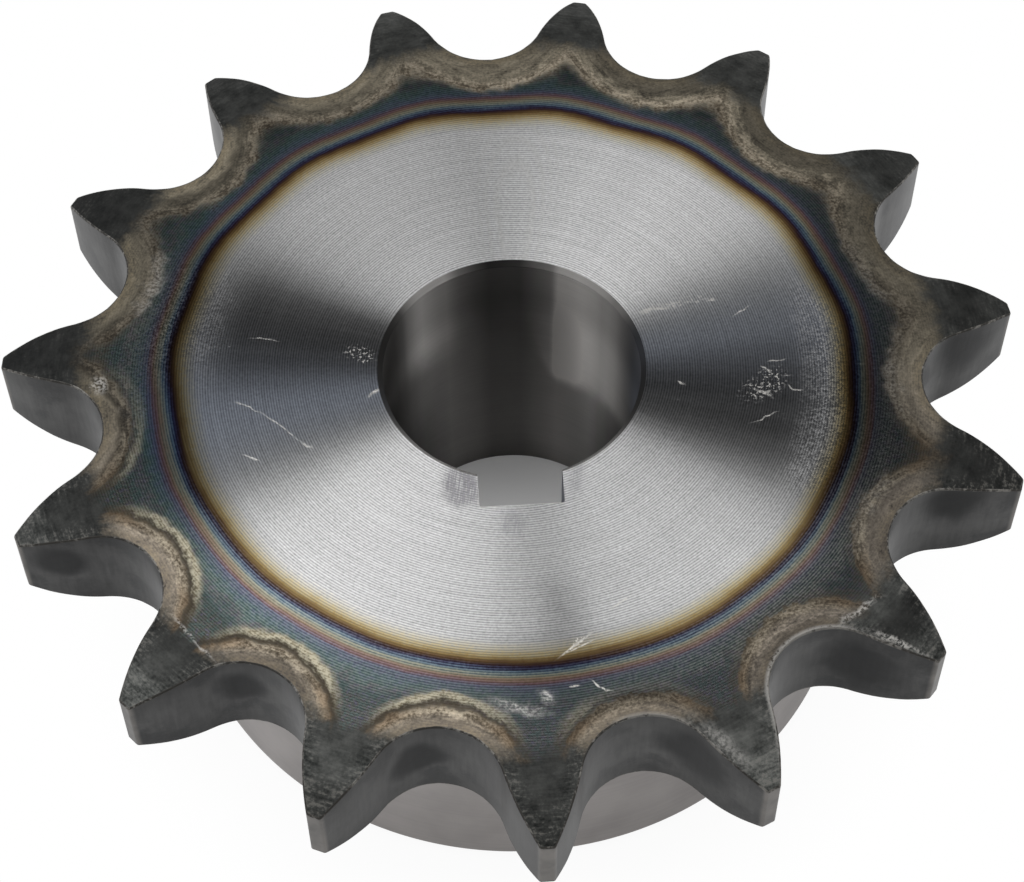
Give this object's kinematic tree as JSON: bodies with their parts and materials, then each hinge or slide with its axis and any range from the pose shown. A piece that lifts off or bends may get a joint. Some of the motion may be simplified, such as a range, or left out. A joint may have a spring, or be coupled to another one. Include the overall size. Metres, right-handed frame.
{
  "type": "chain sprocket",
  "caption": "Roller chain sprocket with relieved teeth, a hub on one side, and a round bore with a keyway.",
  "frame": {"origin": "on the bore's axis, half way through the teeth, where the middle of the chain runs", "axes": "+Z along the bore, out of the toothed face, with the hub on the -Z side; -Y through the middle of the keyway and of the tooth beside it; +X completes the frame"},
  "size_m": [0.0994, 0.0988, 0.0349],
  "materials": {
    "steel": "turned faces, heat-tinted rim and dark hardened teeth"
  },
  "bodies": {
    "root": {"sprocket": "steel"}
  },
  "joints": []
}
